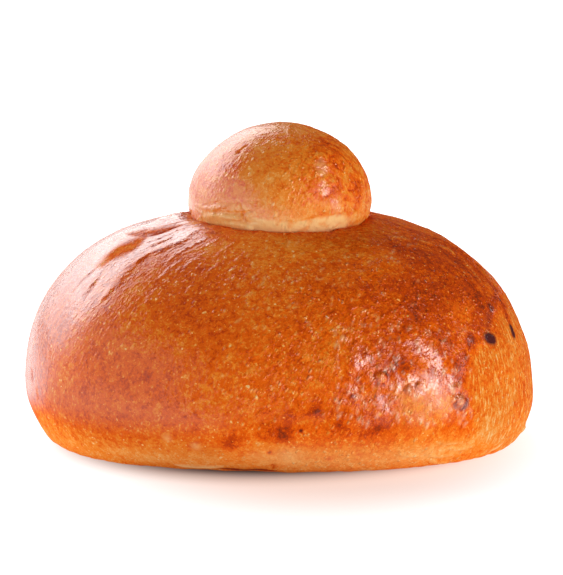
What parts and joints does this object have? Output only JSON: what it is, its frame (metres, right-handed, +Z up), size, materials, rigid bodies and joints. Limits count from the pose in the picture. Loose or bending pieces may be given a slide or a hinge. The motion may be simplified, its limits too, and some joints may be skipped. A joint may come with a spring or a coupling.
{
  "type": "bread roll",
  "caption": "Round enriched bread roll with a small ball of dough set into its crown, browned and glazed, resting on its flat underside.",
  "frame": {"origin": "middle of the roll's bounding box at the plane of its flat underside", "axes": "+Z up, -Y towards the side that the picture shows, +X to that side's right along the roll's widest extent"},
  "size_m": [0.1162, 0.106, 0.0727],
  "materials": {
    "bun_crust": "browned enriched crust with a satin egg-wash glaze",
    "knot_crust": "browned enriched crust with a satin egg-wash glaze"
  },
  "bodies": {
    "root": {"bun": "bun_crust", "topknot": "knot_crust"}
  },
  "joints": []
}
